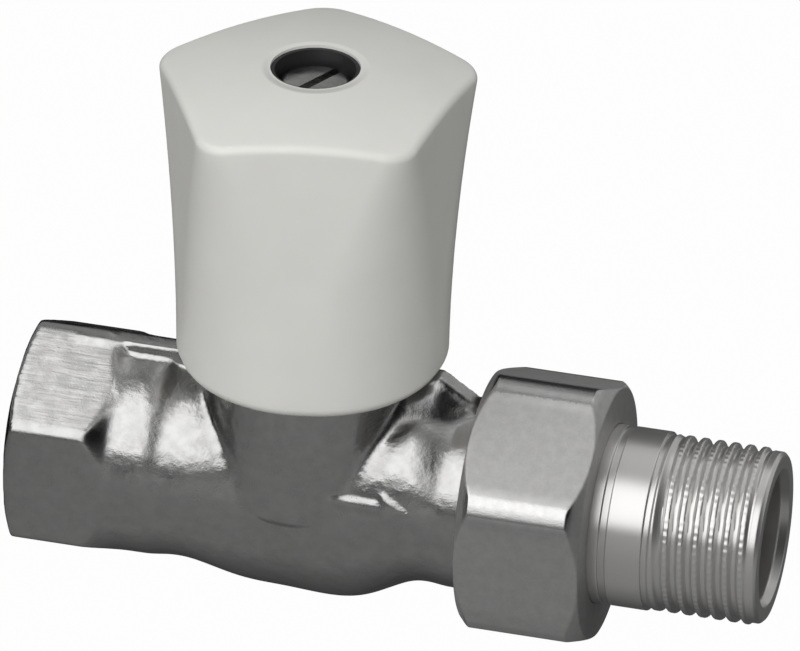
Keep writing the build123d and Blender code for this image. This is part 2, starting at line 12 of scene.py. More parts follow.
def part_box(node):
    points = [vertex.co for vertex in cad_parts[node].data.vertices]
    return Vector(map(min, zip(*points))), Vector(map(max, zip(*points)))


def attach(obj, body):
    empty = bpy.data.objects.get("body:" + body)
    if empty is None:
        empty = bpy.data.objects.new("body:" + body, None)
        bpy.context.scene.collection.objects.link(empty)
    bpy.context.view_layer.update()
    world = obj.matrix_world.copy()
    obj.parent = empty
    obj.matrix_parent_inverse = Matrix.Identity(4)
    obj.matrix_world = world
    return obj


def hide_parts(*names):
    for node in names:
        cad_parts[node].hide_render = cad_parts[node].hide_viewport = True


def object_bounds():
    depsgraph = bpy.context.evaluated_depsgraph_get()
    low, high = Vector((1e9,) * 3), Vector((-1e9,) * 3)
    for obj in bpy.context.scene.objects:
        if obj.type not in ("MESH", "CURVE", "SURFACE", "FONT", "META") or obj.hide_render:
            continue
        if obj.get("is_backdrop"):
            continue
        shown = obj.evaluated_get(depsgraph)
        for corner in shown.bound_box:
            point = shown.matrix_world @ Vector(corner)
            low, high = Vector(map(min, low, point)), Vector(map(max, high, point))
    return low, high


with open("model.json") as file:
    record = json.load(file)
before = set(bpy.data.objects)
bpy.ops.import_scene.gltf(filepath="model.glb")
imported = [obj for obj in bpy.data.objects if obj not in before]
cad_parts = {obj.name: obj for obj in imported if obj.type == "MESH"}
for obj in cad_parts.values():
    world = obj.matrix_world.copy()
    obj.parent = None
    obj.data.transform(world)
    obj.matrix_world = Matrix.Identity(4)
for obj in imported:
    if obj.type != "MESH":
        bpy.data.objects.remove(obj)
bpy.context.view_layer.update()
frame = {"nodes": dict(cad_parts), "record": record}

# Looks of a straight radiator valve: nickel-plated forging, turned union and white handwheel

bl_info = {
    "name": "Radiator valve",
    "version": (1, 0, 0),
    "blender": (4, 5, 0),
    "location": "3D View > Sidebar > Valve",
    "description": "Dresses the packed radiator valve and sets up its studio",
    "category": "Object",
}

MM = 0.001
MERGE_DISTANCE = 1e-6
SMOOTH_ANGLE = radians(32)

# Places on the CAD frame, in millimetres
body_low, body_high = (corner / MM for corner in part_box("valve_body"))
nut_low, nut_high = (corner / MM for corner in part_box("union_nut"))
tail_low, tail_high = (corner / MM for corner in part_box("tailpiece"))
BODY_END = body_high.x
NUT_START, NUT_END = nut_low.x, nut_high.x
TAIL_START, TAIL_END = tail_low.x, tail_high.x

# Inlet and union threads of the body
INLET_BORE = 9.3155
INLET_DEPTH = 13.5
INLET_ROOT = 10.4775
SLEEVE_RADIUS = 10.75
UNION_START = BODY_END - 8.2
UNION_CREST = 13.22
UNION_CORE = 12.0
UNION_CHAMFER = 1.0
UNION_SLEEVE_BORE = 11.0

# Hexagon end, globe and boss
HEXAGON_END = 11.6
CORE_START, CORE_END = 12.0, 55.0
CORE_FADE = 1.6
NECK_CREASE = 15.5, 17.5, 19.0, 21.5
FOOT_HEIGHTS = -4.5, -3.0, 1.0, 2.5
FOOT_RUN = 21.0, 23.0, 45.0, 47.0
FOOT_FRONT = 6.0, 7.5
LAND_HALF_WIDTH = 2.0, 2.8
LAND_HEIGHT = 11.6, 12.6

# Union nut
NUT_MOUTH = 14.07
NUT_FLANGE_FACE = 68.0
NUT_FLANGE_BORE = 10.7
NUT_BORE = UNION_CREST + 0.1
NUT_WALL = 14.5
NUT_FLAT_LIMIT, NUT_CORNER_LIMIT = 15.9, 16.5

# Tailpiece
COLLAR_RADIUS = 12.0
TAIL_RADIUS = 10.65
TAIL_NOSE = 10.15
TAIL_BORE = 7.75
TAIL_FLARE = 0.5
TAIL_GROOVE = 0.35
TAIL_THREAD = 10.4775
TAIL_THREAD_LENGTH = 13.2
TAIL_LAND = 10.2
TAIL_LAND_LENGTH = 1.3
TAIL_LAND_CONE = 0.3
TAIL_CHAMFER = 0.4
TAIL_RUN_OUT = 0.6
TAIL_FLARE_DEPTH = 1.0
# Painted shade on turned metal: full at the first depth below the tail thread's crest, gone at the second;
# the tail's end rim is kept free of it
SHADE_FULL_DEPTH, SHADE_FREE_DEPTH, RIM_START = 0.55, 0.1, 1.0
RING_INSET, RING_WIDTH = 1.2, 0.9
UNDERCUT_WIDTH = 0.6
TAIL_WALL = 9.0
SAMPLES_PER_NOTCH = 5
SEAL_X = BODY_END - 1.85
SEAL_GROOVE = 0.65
SEAL_DEPTH = 1.25
LUG_INSET, LUG_LENGTH = 3.0, 7.0
LUG_WIDTH, LUG_HEIGHT = 3.0, 1.1

# Screw hole in the handwheel's top
liner_low, liner_high = (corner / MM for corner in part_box("recess_liner"))
HOLE_X = (liner_low.x + liner_high.x) / 2
HOLE_RADIUS = (liner_high.x - liner_low.x) / 2 + 0.05
HOLE_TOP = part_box("handwheel")[1].z / MM
LIP_WIDTH, LIP_HEIGHT = 1.1, 0.3


def length_property(name, description, default):
    """Setting in metres."""
    return FloatProperty(name=name, description=description, default=default, unit="LENGTH", precision=6)


def share_property(name, description, default):
    """Setting from 0 to 1."""
    return FloatProperty(name=name, description=description, default=default, min=0, max=1, subtype="FACTOR")


def level_property(name, description, default):
    """Setting of 0 or more."""
    return FloatProperty(name=name, description=description, default=default, min=0)


def angle_property(name, description, degrees):
    """Setting of an angle, given in degrees."""
    return FloatProperty(name=name, description=description, default=radians(degrees), subtype="ANGLE")


def colour_property(name, description, *channels):
    """Setting of an opaque colour."""
    return FloatVectorProperty(
        name=name, description=description, default=(*channels, 1.0), size=4, min=0, max=1, subtype="COLOR")


class ValveSizes(PropertyGroup):
    """Sizes of the details that the CAD frame leaves plain."""

    forging_grid: length_property("Forging grid", "Mesh spacing on the forged body", 0.00038)
    forging_rounds: IntProperty(
        name="Forging rounds", description="How often the forged surface is softened", default=11, min=0)
    forging_wave: length_property("Forging wave", "Height of the slow unevenness left by the dies", 0.00004)
    arrow_length: length_property("Arrow length", "Length of the raised flow arrow", 0.0098)
    arrow_relief: length_property("Arrow relief", "How far the flow arrow stands out of the body", 0.00024)
    thread_pitch: length_property("Thread pitch", "Pitch of the pipe threads, 14 to the inch", 0.0018143)
    thread_depth: length_property("Thread depth", "Depth of the body's and the nut's threads", 0.001162)
    thread_valley: share_property("Thread valley", "Share of the pitch at the bottom of a thread", 0.11)
    thread_row: length_property("Thread row", "Mesh spacing along a thread", 0.00014)
    tail_depth: length_property("Tail thread depth", "Depth of the tail thread, cut short on top", 0.00065)
    tail_top: share_property("Tail thread top", "Share of the pitch on top of the tail thread", 0.22)
    tail_valley: share_property("Tail thread valley", "Share of the pitch at the tail thread's bottom", 0.2)
    tail_row: length_property("Tail thread row", "Mesh spacing along the tail thread", 0.0001)
    tail_phase: share_property("Tail thread phase", "Turn of the tail thread's start", 0.087)
    notch_count: IntProperty(
        name="Notches", description="Sealing notches in one turn of the tail thread", default=70, min=0)
    notch_depth: length_property("Notch depth", "Depth of the sealing notches", 0.00005)
    edge_ease: length_property("Edge ease", "Round on turned edges", 0.00013)
    nut_across_flats: length_property("Nut across flats", "Width of the union nut over its flats", 0.030)
    nut_turned_radius: length_property("Nut turned radius", "Radius of the nut's turned-down corners", 0.0167)
    nut_corner_run: length_property("Nut corner run", "Length of the cones at the nut's ends", 0.0016)
    nut_turn: angle_property("Nut turn", "Direction of one flat of the nut", 4.4)
    flat_softness: length_property("Flat softness", "Blend between the nut's flats and its corners", 0.0004)


class ValveFinishes(PropertyGroup):
    """Colours and gloss of the valve's materials."""

    forged_colour: colour_property("Forging", "Plating on the forging", 0.49, 0.487, 0.48)
    nickel_colour: colour_property("Nickel", "Plating on turned metal", 0.55, 0.547, 0.537)
    milled_colour: colour_property("Milled nickel", "Plating on the union nut", 0.6, 0.597, 0.59)
    plastic_colour: colour_property("Handwheel", "Moulded handwheel", 0.66, 0.657, 0.625)
    brass_colour: colour_property("Brass", "Bare brass inside", 0.72, 0.52, 0.24)
    steel_colour: colour_property("Zinc", "Zinc-plated screws", 0.56, 0.56, 0.55)
    # Also the black of the recess liner, a part that stands in for the shade inside the handwheel's screw
    # hole
    rubber_and_hole_shade_colour: colour_property("Rubber", "Seals and the recess liner", 0.018, 0.018, 0.019)
    forged_roughness: share_property("Forged roughness", "Roughness of the plated forging", 0.23)
    milled_roughness: share_property("Milled roughness", "Roughness of the union nut's flats", 0.57)
    turned_roughness: share_property("Turned roughness", "Roughness of the plated turned parts", 0.075)
    plastic_roughness: share_property("Handwheel roughness", "Roughness of the moulded plastic", 0.36)


class ValveStudio(PropertyGroup):
    """Camera, lamps and surroundings; each grey is a brightness that the metal mirrors."""

    azimuth: angle_property("Azimuth", "Camera's direction round the valve", 14.388)
    elevation: angle_property("Elevation", "Camera's height above the horizon", 30.4743)
    roll: angle_property("Roll", "Camera's turn about its own axis", 0.94)
    distance: length_property("Distance", "Camera's distance from its aim", 1.0708)
    aim: FloatVectorProperty(
        name="Aim", description="Point that the camera looks at", subtype="TRANSLATION",
        size=3, default=(0.044875, 0.0, 0.021395))
    lens: FloatProperty(name="Lens", description="Focal length in millimetres", default=411.57)
    floor_colour: colour_property("Floor", "Colour of the floor", 0.12, 0.12, 0.12)
    ambient: level_property("Ambient", "Strength of the soft light from all round", 0.68)
    key_power: level_property("Key power", "Power of the large front lamp in watts", 1.26)
    softbox: level_property("Softbox", "Face of the lamp", 1.75)
    table_grey: level_property("Table grey", "Table in front", 0.38)
    floor_grey: level_property("Floor grey", "Floor behind", 0.14)
    panel_grey: level_property("Panel grey", "Panel overhead", 0.64)
    gap_grey: level_property("Gap grey", "Gap between softbox and panel", 0.32)
    edge_grey: level_property("Edge grey", "Strip between table and softbox", 0.14)
    back_grey: level_property("Back grey", "Fill behind the valve", 0.45)
    dark_grey: level_property("Dark grey", "Room between them", 0.03)


class NodeBuilder:
    """Adds nodes to a tree; an input is a plain value or another node's output."""

    def __init__(self, tree):
        self.tree = tree

    def add(self, kind, inputs=None, **settings):
        node = self.tree.nodes.new(kind)
        for name, value in settings.items():
            setattr(node, name, value)
        for key, value in (inputs or {}).items():
            if isinstance(value, NodeSocket):
                self.tree.links.new(value, node.inputs[key])
            else:
                node.inputs[key].default_value = value
        return node

    def math(self, operation, *values, clamp=False):
        node = self.add("ShaderNodeMath", dict(enumerate(values)), operation=operation, use_clamp=clamp)
        return node.outputs[0]

    def mapped(self, value, low, high, to_low=0.0, to_high=1.0, **settings):
        names = ("Value", "From Min", "From Max", "To Min", "To Max")
        inputs = dict(zip(names, (value, low, high, to_low, to_high)))
        node = self.add("ShaderNodeMapRange", inputs, **settings)
        return node.outputs["Result"]

    def pipe_place(self, vector):
        """Coordinates of a vector and its distance from the pipe axis."""
        place = self.add("ShaderNodeSeparateXYZ", {0: vector}).outputs
        across = self.add("ShaderNodeCombineXYZ", {1: place[1], 2: place[2]}).outputs[0]
        return place, self.add("ShaderNodeVectorMath", {0: across}, operation="LENGTH").outputs["Value"]


def new_tree(name, kind, inputs, outputs):
    """Node group with the given (name, socket type) inputs and outputs."""
    tree = bpy.data.node_groups.new(name, kind)
    for direction, sockets in (("INPUT", inputs), ("OUTPUT", outputs)):
        for label, socket_type in sockets:
            tree.interface.new_socket(label, in_out=direction, socket_type=socket_type)
    build = NodeBuilder(tree)
    return tree, build, build.add("NodeGroupInput").outputs, build.add("NodeGroupOutput").inputs


def radial_tree(name, sizes, rule):
    """Geometry node tree that gives each point between two radii a new radius about the pipe axis."""
    floats = ["Lowest Radius", "Highest Radius", "Start", "End"] + sizes
    tree, build, given, result = new_tree(
        name, "GeometryNodeTree",
        [("Geometry", "NodeSocketGeometry")]
        + [(size, "NodeSocketFloat") for size in floats]
        + [("Material", "NodeSocketMaterial")],
        [("Geometry", "NodeSocketGeometry")],
    )
    place, radius = build.pipe_place(build.add("GeometryNodeInputPosition").outputs[0])
    angle = build.math("ARCTAN2", place[2], place[1])
    share = build.math("DIVIDE", rule(build, given, place[0], radius, angle), radius)
    moved = build.add("ShaderNodeCombineXYZ", {
        0: place[0],
        1: build.math("MULTIPLY", place[1], share),
        2: build.math("MULTIPLY", place[2], share),
    }).outputs[0]
    in_radius = build.math(
        "MULTIPLY",
        build.math("GREATER_THAN", radius, given["Lowest Radius"]),
        build.math("LESS_THAN", radius, given["Highest Radius"]),
    )
    in_run = build.math(
        "MULTIPLY",
        build.math("GREATER_THAN", place[0], given["Start"]),
        build.math("LESS_THAN", place[0], given["End"]),
    )
    shaped_points = build.add("GeometryNodeSetPosition", {
        "Geometry": given["Geometry"],
        "Selection": build.math("MULTIPLY", in_radius, in_run),
        "Position": moved,
    }).outputs[0]
    realized = build.add("GeometryNodeRealizeInstances", {0: shaped_points}).outputs[0]
    coated = build.add("GeometryNodeSetMaterial", {"Geometry": realized, "Material": given["Material"]})
    build.tree.links.new(coated.outputs[0], result[0])
    return tree


def thread_rule(build, given, along, radius, angle):
    """Radius of a right-hand pipe thread, with sealing notches in its crests."""
    turn = build.math("DIVIDE", angle, tau)
    turn = build.math("SUBTRACT", turn, given["Phase"])
    phase = build.math("FRACT", build.math("SUBTRACT", build.math("DIVIDE", along, given["Pitch"]), turn))
    ramp = build.math("ABSOLUTE", build.math("MULTIPLY_ADD", phase, 2.0, -1.0))
    root = build.math("SUBTRACT", 1.0, given["Root Share"])
    groove = build.mapped(ramp, given["Crest Share"], root, interpolation_type="SMOOTHSTEP")
    cut_in = build.mapped(along, given["Start"], build.math("ADD", given["Start"], given["Run-out"]))
    cut_out = build.mapped(build.math("SUBTRACT", given["End"], along), 0.0, given["Run-out"])
    depth = build.math("MULTIPLY", given["Depth"], build.math("MULTIPLY", cut_in, cut_out))
    crest = build.math("SUBTRACT", 1.0, build.math("MULTIPLY", groove, 4.0), clamp=True)
    wave = build.math("COSINE", build.math("MULTIPLY", angle, given["Notches"]))
    notch = build.math("MULTIPLY", build.math("MULTIPLY_ADD", wave, 0.5, 0.5), given["Notch Depth"])
    cut = build.math(
        "MULTIPLY_ADD", groove, depth,
        build.math("MULTIPLY", build.math("MULTIPLY", notch, crest), cut_in),
    )
    return build.math("MINIMUM", radius, build.math("SUBTRACT", given["Crest Radius"], cut))


def hexagon_rule(build, given, along, radius, angle):
    """Radius of a turned blank with six flats milled on it."""
    from_flat = build.math("WRAP", build.math("SUBTRACT", angle, given["Turn"]), pi / 6, -pi / 6)
    half = build.math("MULTIPLY", given["Across Flats"], 0.5)
    flat = build.math("DIVIDE", half, build.math("COSINE", from_flat))
    return build.math("SMOOTH_MIN", radius, flat, given["Softness"])


def thread_tree():
    """The pipe thread tree, built once."""
    return bpy.data.node_groups.get("pipe_thread") or radial_tree(
        "pipe_thread",
        ["Pitch", "Depth", "Crest Radius", "Crest Share", "Root Share", "Phase", "Run-out", "Notches",
         "Notch Depth"],
        thread_rule)


def hexagon_tree():
    """The milled hexagon tree, built once."""
    return bpy.data.node_groups.get("milled_hexagon") or radial_tree(
        "milled_hexagon", ["Across Flats", "Turn", "Softness"], hexagon_rule)


def evaluated(mesh, add_modifiers):
    """Plain mesh that results from modifiers on the given one, which is used up."""
    blank = bpy.data.objects.new(mesh.name + "_blank", mesh)
    bpy.context.collection.objects.link(blank)
    add_modifiers(blank)
    depsgraph = bpy.context.evaluated_depsgraph_get()
    result = bpy.data.meshes.new_from_object(
        blank.evaluated_get(depsgraph), preserve_all_data_layers=True, depsgraph=depsgraph)
    bpy.data.objects.remove(blank)
    bpy.data.meshes.remove(mesh)
    return result


def shaped(mesh, material, *rules):
    """Runs a mesh through geometry node trees, given as (tree, values by input name)."""
    def add_trees(blank):
        for tree, values in rules:
            modifier = blank.modifiers.new(tree.name, "NODES")
            modifier.node_group = tree
            for item in tree.interface.items_tree:
                if item.in_out == "INPUT" and item.name in values:
                    modifier[item.identifier] = values[item.name]
                elif item.in_out == "INPUT" and item.name == "Material":
                    modifier[item.identifier] = material
    return evaluated(mesh, add_trees)


def mesh_of(name, points, faces):
    """Mesh with merged points and outward faces."""
    mesh = bpy.data.meshes.new(name)
    mesh.from_pydata(points, [], faces)
    work = bmesh.new()
    work.from_mesh(mesh)
    bmesh.ops.remove_doubles(work, verts=work.verts, dist=MERGE_DISTANCE)
    bmesh.ops.dissolve_degenerate(work, edges=work.edges, dist=MERGE_DISTANCE)
    bmesh.ops.recalc_face_normals(work, faces=work.faces)
    work.to_mesh(mesh)
    work.free()
    return mesh


def node_points(node):
    """Points and triangles of a CAD node, in metres."""
    mesh = frame["nodes"][node].data
    points = np.empty(len(mesh.vertices) * 3)
    mesh.vertices.foreach_get("co", points)
    return points.reshape(-1, 3), [list(face.vertices) for face in mesh.polygons]


def from_axis(points):
    """Distance of points from the pipe axis."""
    return np.hypot(points[:, 1], points[:, 2])


def set_radius(points, chosen, radius):
    """Moves the chosen points straight out from the pipe axis to a radius."""
    points[chosen, 1:] *= (radius / from_axis(points[chosen]))[:, None]


def step(value, low, high):
    """Smooth step from 0 at low to 1 at high."""
    share = np.clip((value - low) / (high - low), 0, 1)
    return share * share * (3 - 2 * share)


def band(value, low, full_low, full_high, high):
    """Smooth band that is 0 outside low and high, and 1 between the full limits."""
    return step(value, low, full_low) * step(-value, -high, -full_high)


def eased(outline, ease):
    """Closed outline with a small round at each corner and a row beside it that keeps the flats flat."""
    points = [np.array(point, float) for point in outline]
    result = []
    for index, corner in enumerate(points):
        before, after = points[index - 1] - corner, points[(index + 1) % len(points)] - corner
        reach = min(ease, 0.2 * np.linalg.norm(before), 0.2 * np.linalg.norm(after))
        before, after = reach * before / np.linalg.norm(before), reach * after / np.linalg.norm(after)
        middle = corner + (before + after) * (1 - cos(pi / 4))
        result += [corner + 2 * before, corner + before, middle, corner + after, corner + 2 * after]
    return result


def divided(outline, spacing, low, high, inner):
    """Outline with points added between two distances, on runs outside the inner radius."""
    result = []
    for index, point in enumerate(outline):
        after = outline[(index + 1) % len(outline)]
        parts = 1
        inside = min(point[0], after[0]) >= low and max(point[0], after[0]) <= high
        if inside and min(point[1], after[1]) > inner:
            parts = max(1, round(np.linalg.norm(after - point) / spacing))
        result += [point + (after - point) * part / parts for part in range(parts)]
    return result


def lathe(name, outline, segments):
    """Closed ring turned about the pipe axis from (distance, radius) points in millimetres."""
    profile = np.array(outline) * MM
    turn = np.arange(segments) * tau / segments
    points = np.empty((len(profile), segments, 3))
    points[..., 0] = profile[:, :1]
    points[..., 1] = profile[:, 1:] * np.cos(turn)
    points[..., 2] = profile[:, 1:] * np.sin(turn)
    row, column = np.meshgrid(np.arange(len(profile)), np.arange(segments), indexing="ij")
    next_row, next_column = (row + 1) % len(profile), (column + 1) % segments
    corners = [(row, column), (row, next_column), (next_row, next_column), (next_row, column)]
    faces = np.stack([r * segments + c for r, c in corners], -1).reshape(-1, 4)
    return mesh_of(name, points.reshape(-1, 3), faces.tolist())


def finished(name, mesh, material, body, slot, *replaced):
    """Object for a finished mesh, riding on its body."""
    mesh.name = name
    mesh.materials.clear()
    mesh.materials.append(material)
    mesh.shade_smooth()
    mesh.set_sharp_from_angle(angle=SMOOTH_ANGLE)
    piece = bpy.data.objects.new(name, mesh)
    bpy.context.collection.objects.link(piece)
    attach(piece, body)
    if replaced:
        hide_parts(*replaced)
    return piece


def plating_group():
    """Shader group: slow patches and fine grain of a plated or moulded surface."""
    found = bpy.data.node_groups.get("surface_grain")
    if found:
        return found
    tree, build, given, result = new_tree(
        "surface_grain", "ShaderNodeTree",
        [("Coordinates", "NodeSocketVector"), ("Patch Scale", "NodeSocketFloat"),
         ("Grain Scale", "NodeSocketFloat")],
        [("Patches", "NodeSocketFloat"), ("Grain", "NodeSocketFloat")],
    )
    for name, scale, detail in (("Patches", "Patch Scale", 3.0), ("Grain", "Grain Scale", 2.0)):
        texture = build.add("ShaderNodeTexNoise", {
            "Vector": given["Coordinates"], "Scale": given[scale], "Detail": detail})
        tree.links.new(texture.outputs[0], result[name])
    return tree


def turning_group():
    """Shader group: fine lines that a lathe leaves on cylinders and end faces about the pipe axis."""
    found = bpy.data.node_groups.get("turning_lines")
    if found:
        return found
    tree, build, given, result = new_tree(
        "turning_lines", "ShaderNodeTree",
        [("Coordinates", "NodeSocketVector"), ("Lines per Metre", "NodeSocketFloat")],
        [("Lines", "NodeSocketFloat")],
    )
    place, radius = build.pipe_place(given["Coordinates"])
    run = build.math("MULTIPLY", build.math("ADD", place[0], radius), given["Lines per Metre"])
    lines = build.add("ShaderNodeTexNoise", {"W": run, "Scale": 1.0, "Detail": 2.0}, noise_dimensions="1D")
    tree.links.new(lines.outputs[0], result["Lines"])
    return tree


def streak_group():
    """Shader group: fine streaks along the pipe axis, as on the flats of a drawn bar."""
    found = bpy.data.node_groups.get("drawn_streaks")
    if found:
        return found
    tree, build, given, result = new_tree(
        "drawn_streaks", "ShaderNodeTree",
        [("Coordinates", "NodeSocketVector"), ("Streaks per Metre", "NodeSocketFloat"),
         ("Draw", "NodeSocketFloat")],
        [("Streaks", "NodeSocketFloat")],
    )
    place = build.add("ShaderNodeSeparateXYZ", {0: given["Coordinates"]}).outputs
    drawn = build.add("ShaderNodeCombineXYZ", {
        0: build.math("MULTIPLY", place[0], given["Draw"]), 1: place[1], 2: place[2]}).outputs[0]
    texture = build.add("ShaderNodeTexNoise", {
        "Vector": drawn, "Scale": given["Streaks per Metre"], "Detail": 3.0})
    tree.links.new(texture.outputs[0], result["Streaks"])
    return tree


def start_material(name):
    """New material with its node builder, Principled shader and Object coordinates."""
    material = bpy.data.materials.new(name)
    material.use_nodes = True
    build = NodeBuilder(material.node_tree)
    shader = material.node_tree.nodes["Principled BSDF"]
    coordinates = build.add("ShaderNodeTexCoord").outputs["Object"]
    return material, build, shader, coordinates


def grained(build, coordinates, patch_scale, grain_scale):
    """Outputs of the surface grain group, placed in a material."""
    inputs = {"Coordinates": coordinates, "Patch Scale": patch_scale, "Grain Scale": grain_scale}
    group = build.add("ShaderNodeGroup", inputs, node_tree=plating_group())
    return group.outputs["Patches"], group.outputs["Grain"]


def connect(build, shader, colour, roughness, heights):
    """Links colour, roughness and stacked (height, strength, distance) bumps to a shader."""
    if colour is not None:
        build.tree.links.new(colour, shader.inputs["Base Color"])
    if roughness is not None:
        build.tree.links.new(roughness, shader.inputs["Roughness"])
    normal = None
    for height, strength, distance in heights:
        inputs = {"Height": height, "Strength": strength, "Distance": distance}
        if normal is not None:
            inputs["Normal"] = normal
        normal = build.add("ShaderNodeBump", inputs).outputs[0]
    if normal is not None:
        build.tree.links.new(normal, shader.inputs["Normal"])


def shaded(build, colour, patches, darkest):
    """Colour that darkens where the factor is low: in patches, and also as painted shade in turned_nickel."""
    dark = [channel * darkest for channel in colour[:3]] + [1.0]
    mix = build.add("ShaderNodeMix", {"Factor": patches, "A": dark, "B": list(colour)}, data_type="RGBA")
    return mix.outputs["Result"]


def forged_nickel(finishes):
    """Plated forging: mottled and softly uneven, with drawn streaks on the hexagon end."""
    material, build, shader, coordinates = start_material("forged_nickel")
    shader.inputs["Metallic"].default_value = 1.0
    patches, grain = grained(build, coordinates, patch_scale=620.0, grain_scale=5200.0)
    inputs = {"Coordinates": coordinates, "Streaks per Metre": 2600.0, "Draw": 0.09}
    group = build.add("ShaderNodeGroup", inputs, node_tree=streak_group())
    along = build.add("ShaderNodeSeparateXYZ", {0: coordinates}).outputs[0]
    forged = build.mapped(along, HEXAGON_END * MM, (HEXAGON_END + 1) * MM)
    drawn = build.math("SUBTRACT", 1.0, forged)
    rough = finishes.forged_roughness
    connect(
        build, shader,
        shaded(build, finishes.forged_colour, build.mapped(patches, 0.35, 0.65), 0.9),
        build.mapped(patches, 0.3, 0.7, rough + 0.06, rough - 0.04),
        [
            (build.math("MULTIPLY", patches, forged), 0.42, 0.0002),
            (build.math("MULTIPLY", group.outputs["Streaks"], drawn), 0.3, 0.00006),
            (grain, 0.2, 0.00004),
        ],
    )
    return material


def turned_nickel(finishes):
    """Plated turned metal: fine lathe lines under a brighter plating, and painted shade in valleys and bores.
    """
    found = bpy.data.materials.get("turned_nickel")
    if found:
        return found
    material, build, shader, coordinates = start_material("turned_nickel")
    shader.inputs["Metallic"].default_value = 1.0
    patches, grain = grained(build, coordinates, patch_scale=300.0, grain_scale=6000.0)
    inputs = {"Coordinates": coordinates, "Lines per Metre": 9000.0}
    group = build.add("ShaderNodeGroup", inputs, node_tree=turning_group())
    place, radius = build.pipe_place(coordinates)
    # Painted shade: the colour darkens in thread valleys and bores, and is kept off the tail's end rim
    raised = build.mapped(radius, (TAIL_THREAD - SHADE_FULL_DEPTH) * MM, (TAIL_THREAD - SHADE_FREE_DEPTH) * MM)
    rim = build.mapped(place[0], (TAIL_END - RIM_START) * MM, (TAIL_END - TAIL_RUN_OUT) * MM)
    painted_shade_and_patches = build.math("MAXIMUM", raised, rim)
    painted_shade_and_patches = build.math("MULTIPLY", painted_shade_and_patches, build.mapped(patches, 0.35, 0.65, 0.86, 1.0))
    rough = finishes.turned_roughness
    connect(
        build, shader,
        shaded(build, finishes.nickel_colour, painted_shade_and_patches, 0.4),
        build.mapped(group.outputs["Lines"], 0.3, 0.7, rough + 0.03, rough - 0.02),
        [(group.outputs["Lines"], 0.2, 0.00003), (grain, 0.1, 0.00003)],
    )
    return material


def milled_nickel(finishes):
    """Plated flats of the nut: even, with a fine sandy grain, and brighter on the turned corners."""
    material, build, shader, coordinates = start_material("milled_nickel")
    shader.inputs["Metallic"].default_value = 1.0
    patches, grain = grained(build, coordinates, patch_scale=900.0, grain_scale=4200.0)
    place, radius = build.pipe_place(coordinates)
    turned = build.mapped(radius, NUT_FLAT_LIMIT * MM, NUT_CORNER_LIMIT * MM, 1.0, 0.4)
    rough = finishes.milled_roughness
    connect(
        build, shader,
        shaded(build, finishes.milled_colour, build.mapped(patches, 0.3, 0.7), 0.9),
        build.math("MULTIPLY", build.mapped(grain, 0.3, 0.7, rough + 0.06, rough - 0.06), turned),
        [(patches, 0.1, 0.00008), (grain, 0.25, 0.00003)],
    )
    return material


def hole_lip(build, coordinates):
    """Height, in metres, of the handwheel's top where it rounds down into the screw hole."""
    place = build.add("ShaderNodeSeparateXYZ", {0: coordinates}).outputs
    across = build.add("ShaderNodeCombineXYZ", {
        0: build.math("SUBTRACT", place[0], HOLE_X * MM), 1: place[1]}).outputs[0]
    radius = build.add("ShaderNodeVectorMath", {0: across}, operation="LENGTH").outputs["Value"]
    rise = build.mapped(
        radius, HOLE_RADIUS * MM, (HOLE_RADIUS + LIP_WIDTH) * MM, -LIP_HEIGHT * MM, 0.0,
        interpolation_type="SMOOTHSTEP")
    return build.math("MULTIPLY", rise, build.math("GREATER_THAN", place[2], (HOLE_TOP - 1.0) * MM))


def moulded_plastic(name, colour, roughness, grain_strength, lip=None):
    """Moulded plastic or rubber: even colour, low gloss and a faint die texture."""
    material, build, shader, coordinates = start_material(name)
    shader.inputs["IOR"].default_value = 1.48
    patches, grain = grained(build, coordinates, patch_scale=160.0, grain_scale=3600.0)
    heights = [(patches, 0.05, 0.0003), (grain, grain_strength, 0.00003)]
    if lip:
        heights.insert(0, (lip(build, coordinates), 1.0, 1.0))
    connect(
        build, shader,
        shaded(build, colour, build.mapped(patches, 0.3, 0.7), 0.97),
        build.mapped(grain, 0.3, 0.7, roughness + 0.05, roughness - 0.04),
        heights,
    )
    return material


def plain_metal(name, colour, roughness):
    """Bare or zinc-plated metal with faint tool grain."""
    material, build, shader, coordinates = start_material(name)
    shader.inputs["Metallic"].default_value = 1.0
    patches, grain = grained(build, coordinates, patch_scale=500.0, grain_scale=7000.0)
    connect(
        build, shader,
        shaded(build, colour, build.mapped(patches, 0.3, 0.7), 0.85),
        build.mapped(patches, 0.3, 0.7, roughness + 0.08, roughness - 0.05),
        [(grain, 0.2, 0.00003)],
    )
    return material


def arrow_relief(points, length):
    """Height from 0 to 1 of a flow arrow raised on the body's front, at points in millimetres."""
    centre_x, centre_z = 44.2, 2.8
    half_length = length / MM / 2
    shaft, head_length, head_half, soft = 0.62, 3.4, 1.75, 0.4
    along, above = points[:, 0] - centre_x, np.abs(points[:, 2] - centre_z)
    head_start = half_length - head_length
    in_shaft = np.minimum(shaft - above, np.minimum(along + half_length, head_start + 0.5 - along))
    slope = head_half / head_length
    in_head = np.minimum((half_length - along) * slope - above, along - head_start) / np.hypot(1, slope)
    inside = np.maximum(in_shaft, in_head)
    return step(inside, -soft, soft)


